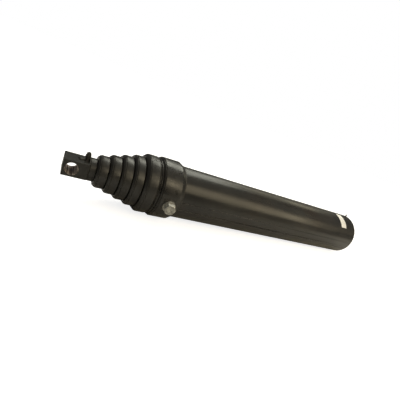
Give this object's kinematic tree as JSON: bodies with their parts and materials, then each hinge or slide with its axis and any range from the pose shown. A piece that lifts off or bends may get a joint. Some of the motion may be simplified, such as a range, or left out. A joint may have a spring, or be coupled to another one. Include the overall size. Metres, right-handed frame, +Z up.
{
  "type": "telescopic hydraulic cylinder",
  "caption": "Closed telescopic hydraulic cylinder: a long barrel, stepped packing nuts on nested sleeves, a bored rod-end block, a plugged side port and a base lug.",
  "frame": {"origin": "centre of the base pin bore, half way across the lug", "axes": "+X along the cylinder from the base pin to the rod-end pin, +Y along both pin bores, on the side of the inlet port, +Z up, the side of the rod end's air bleeder"},
  "size_m": [1.6273, 0.2738, 0.2457],
  "materials": {
    "black_paint": "satin",
    "sleeve_steel": "honed, oiled",
    "bare_steel": "as machined",
    "spring_steel": "oiled",
    "zinc_plate": "zinc plated",
    "bearing_bronze": "as machined",
    "seal_rubber": "matte",
    "label_film": "matte"
  },
  "bodies": {
    "barrel": {"barrel_tube": "black_paint", "head_ring": "black_paint", "barrel_packing_nut": "black_paint", "nut_lock_screws": "spring_steel", "barrel_bearing": "bearing_bronze", "barrel_packing": "seal_rubber", "barrel_wiper": "seal_rubber", "barrel_stop_ring": "spring_steel", "port_plug": "zinc_plate", "port_seal": "zinc_plate", "base_plug": "black_paint", "base_lug": "black_paint", "base_nipple": "spring_steel", "blank_label": "label_film"},
    "sleeve_1": {"sleeve_1_tube": "sleeve_steel", "sleeve_1_packing_nut": "black_paint", "sleeve_1_bearing": "bearing_bronze", "sleeve_1_packing": "seal_rubber", "sleeve_1_wiper": "seal_rubber", "sleeve_1_stop_ring": "spring_steel", "sleeve_1_guide_ring": "bearing_bronze", "sleeve_1_lock_ring": "spring_steel"},
    "sleeve_2": {"sleeve_2_tube": "sleeve_steel", "sleeve_2_packing_nut": "black_paint", "sleeve_2_bearing": "bearing_bronze", "sleeve_2_packing": "seal_rubber", "sleeve_2_wiper": "seal_rubber", "sleeve_2_stop_ring": "spring_steel", "sleeve_2_guide_ring": "bearing_bronze", "sleeve_2_lock_ring": "spring_steel"},
    "sleeve_3": {"sleeve_3_tube": "sleeve_steel", "sleeve_3_packing_nut": "black_paint", "sleeve_3_bearing": "bearing_bronze", "sleeve_3_packing": "seal_rubber", "sleeve_3_wiper": "seal_rubber", "sleeve_3_stop_ring": "spring_steel", "sleeve_3_guide_ring": "bearing_bronze", "sleeve_3_lock_ring": "spring_steel"},
    "sleeve_4": {"sleeve_4_tube": "sleeve_steel", "sleeve_4_packing_nut": "black_paint", "sleeve_4_bearing": "bearing_bronze", "sleeve_4_packing": "seal_rubber", "sleeve_4_wiper": "seal_rubber", "sleeve_4_stop_ring": "spring_steel", "sleeve_4_guide_ring": "bearing_bronze", "sleeve_4_lock_ring": "spring_steel"},
    "plunger": {"plunger_tube": "sleeve_steel", "plunger_foot": "bare_steel", "plunger_guide_ring": "bearing_bronze", "plunger_lock_ring": "spring_steel", "rod_end_block": "black_paint", "bleeder_boss": "black_paint"},
    "bleeder_screw": {"bleeder_screw": "black_paint"}
  },
  "joints": [
    {"name": "sleeve_1_slide", "type": "slide", "parent": "barrel", "child": "sleeve_1", "axis": [1, 0, 0], "range_m": [0, 1.04]},
    {"name": "sleeve_2_slide", "type": "slide", "parent": "sleeve_1", "child": "sleeve_2", "axis": [1, 0, 0], "range_m": [0, 1.04]},
    {"name": "sleeve_3_slide", "type": "slide", "parent": "sleeve_2", "child": "sleeve_3", "axis": [1, 0, 0], "range_m": [0, 1.04]},
    {"name": "sleeve_4_slide", "type": "slide", "parent": "sleeve_3", "child": "sleeve_4", "axis": [1, 0, 0], "range_m": [0, 1.04]},
    {"name": "plunger_slide", "type": "slide", "parent": "sleeve_4", "child": "plunger", "axis": [1, 0, 0], "range_m": [0, 1.04]},
    {"name": "bleeder_turn", "type": "hinge", "parent": "plunger", "child": "bleeder_screw", "pos_m": [1.5138, 0, 0.03], "axis": [0, 0, 1], "range_deg": [0, 180]}
  ]
}
